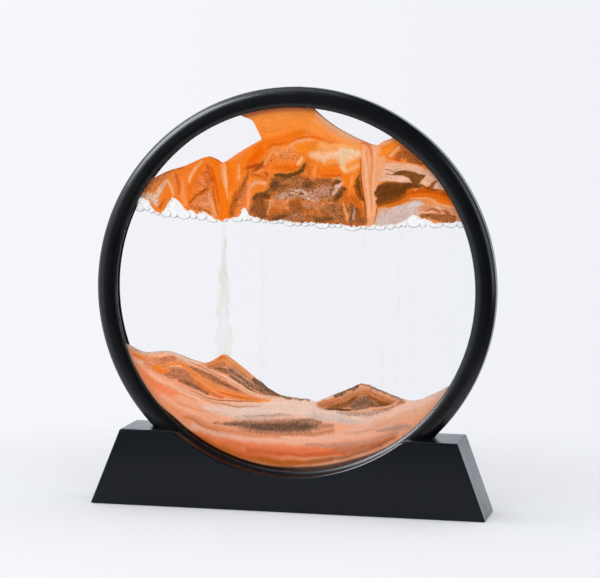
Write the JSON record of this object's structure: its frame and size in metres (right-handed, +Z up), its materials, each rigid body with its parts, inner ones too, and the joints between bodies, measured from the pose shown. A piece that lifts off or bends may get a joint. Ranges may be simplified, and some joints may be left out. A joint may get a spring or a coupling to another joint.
{
  "type": "moving sand picture",
  "caption": "Round glass cell with layered orange sand, clear liquid and air bubbles in a black ring frame that turns and lifts out of the groove of a low black stand.",
  "frame": {"origin": "on the table, under the middle of the stand", "axes": "+Z up, +X to the right seen from the front, front of the picture towards -Y"},
  "size_m": [0.18, 0.0316, 0.1881],
  "materials": {
    "black_plastic": "satin black moulded plastic",
    "clear_glass": "clear polished sheet",
    "spacer_plastic": "black plastic",
    "seal_rubber": "dark grey silicone",
    "pad_rubber": "black soft rubber",
    "screw_steel": "plain steel",
    "pale_sand": "loose pale orange grains in liquid",
    "brown_sand": "loose brown and orange grains in liquid",
    "orange_sand": "loose orange grains in liquid",
    "air_bubbles": "row of clear air bubbles",
    "hazy_sand": "thin stream of falling grains",
    "clear_liquid": "clear liquid"
  },
  "bodies": {
    "stand": {"stand_shell": "black_plastic", "stand_base_plate": "black_plastic", "base_screw_front_left": "screw_steel", "base_screw_front_right": "screw_steel", "base_screw_rear_left": "screw_steel", "base_screw_rear_right": "screw_steel", "foot_pad_front_left": "pad_rubber", "foot_pad_front_right": "pad_rubber", "foot_pad_rear_left": "pad_rubber", "foot_pad_rear_right": "pad_rubber"},
    "contents": {"lower_sand_bed": "pale_sand", "left_dune": "brown_sand", "right_dune": "brown_sand", "upper_sand_left": "orange_sand", "left_sand_funnel": "pale_sand", "upper_sand_middle": "orange_sand", "right_sand_funnel": "pale_sand", "upper_sand_right": "orange_sand", "bubble_layer": "air_bubbles", "falling_sand": "hazy_sand", "liquid_middle": "clear_liquid", "liquid_top_left": "clear_liquid", "liquid_top_right": "clear_liquid"},
    "frame": {"front_frame_ring": "black_plastic", "rear_frame_ring": "black_plastic", "front_glass": "clear_glass", "rear_glass": "clear_glass", "spacer_ring": "spacer_plastic", "front_seal": "seal_rubber", "rear_seal": "seal_rubber", "filler_plug": "pad_rubber"}
  },
  "joints": [
    {"name": "frame_lift", "type": "slide", "parent": "stand", "child": "contents", "axis": [0, 0, 1], "range_m": [0, 0.06]},
    {"name": "frame_turn", "type": "hinge", "parent": "contents", "child": "frame", "pos_m": [0, 0, 0.0981], "axis": [0, 1, 0], "continuous": true}
  ]
}
